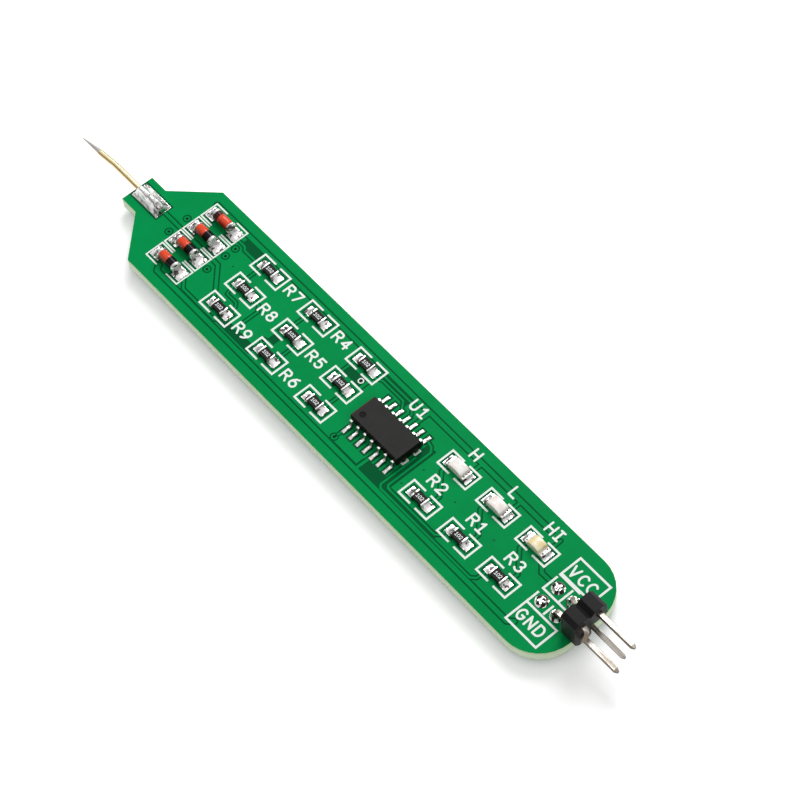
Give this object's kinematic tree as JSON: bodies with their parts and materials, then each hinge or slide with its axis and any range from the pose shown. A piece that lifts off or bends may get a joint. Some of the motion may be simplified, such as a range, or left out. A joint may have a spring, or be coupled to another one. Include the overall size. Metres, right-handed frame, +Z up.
{
  "type": "logic probe",
  "caption": "Bare-board logic probe: gold needle soldered to a tongue, glass diodes, chip resistors, small-outline IC, three lamps and a right-angle pin header.",
  "frame": {"origin": "middle of the bounding box in plan, on the plane that the trimmed header pin tails stand on; the board's underside is 1.0 mm above it", "axes": "+X along the board from the needle towards the header, +Y across the board, +Z up from the soldered side to the component side"},
  "size_m": [0.1022, 0.0152, 0.0076],
  "materials": {
    "board_mask": "green solder mask over glass-fibre board, pale green sawn edge",
    "solder_tin": "bright solder with dark creases",
    "pin_plate": "warm silver tin plating, satin",
    "needle_gold": "pale gold plating, ground silver point",
    "diode_glass": "orange-red glass with a black band",
    "chip_black": "black glazed top with white digits",
    "lamp_ceramic": "white base with tinned ends",
    "lamp_lens": "clear or pale yellow resin",
    "ic_moulding": "fine-grained dark grey moulding compound",
    "header_plastic": "black moulded insulator",
    "white_print": "white legend ink"
  },
  "bodies": {
    "root": {"circuit_board": "board_mask", "diode_1_cap_header_end": "solder_tin", "diode_1_cap_needle_end": "solder_tin", "diode_1_glass": "diode_glass", "diode_2_cap_header_end": "solder_tin", "diode_2_cap_needle_end": "solder_tin", "diode_2_glass": "diode_glass", "diode_3_cap_header_end": "solder_tin", "diode_3_cap_needle_end": "solder_tin", "diode_3_glass": "diode_glass", "diode_4_cap_header_end": "solder_tin", "diode_4_cap_needle_end": "solder_tin", "diode_4_glass": "diode_glass", "header_housing": "header_plastic", "header_pin_gnd_lower": "pin_plate", "header_pin_gnd_upper": "pin_plate", "header_pin_vcc_lower": "pin_plate", "header_pin_vcc_upper": "pin_plate", "ic_body": "ic_moulding", "ic_lead_01": "pin_plate", "ic_lead_02": "pin_plate", "ic_lead_03": "pin_plate", "ic_lead_04": "pin_plate", "ic_lead_05": "pin_plate", "ic_lead_06": "pin_plate", "ic_lead_07": "pin_plate", "ic_lead_08": "pin_plate", "ic_lead_09": "pin_plate", "ic_lead_10": "pin_plate", "ic_lead_11": "pin_plate", "ic_lead_12": "pin_plate", "ic_lead_13": "pin_plate", "ic_lead_14": "pin_plate", "lamp_floating_base": "lamp_ceramic", "lamp_floating_lens": "lamp_lens", "lamp_high_base": "lamp_ceramic", "lamp_high_lens": "lamp_lens", "lamp_low_base": "lamp_ceramic", "lamp_low_lens": "lamp_lens", "needle_solder": "solder_tin", "probe_needle": "needle_gold", "resistor_01": "chip_black", "resistor_02": "chip_black", "resistor_03": "chip_black", "resistor_04": "chip_black", "resistor_05": "chip_black", "resistor_06": "chip_black", "resistor_07": "chip_black", "resistor_08": "chip_black", "resistor_09": "chip_black", "resistor_10": "chip_black", "resistor_11": "chip_black", "resistor_12": "chip_black", "solder_joint_gnd_back": "solder_tin", "solder_joint_gnd_front": "solder_tin", "solder_joint_vcc_back": "solder_tin", "solder_joint_vcc_front": "solder_tin"}
  },
  "joints": []
}
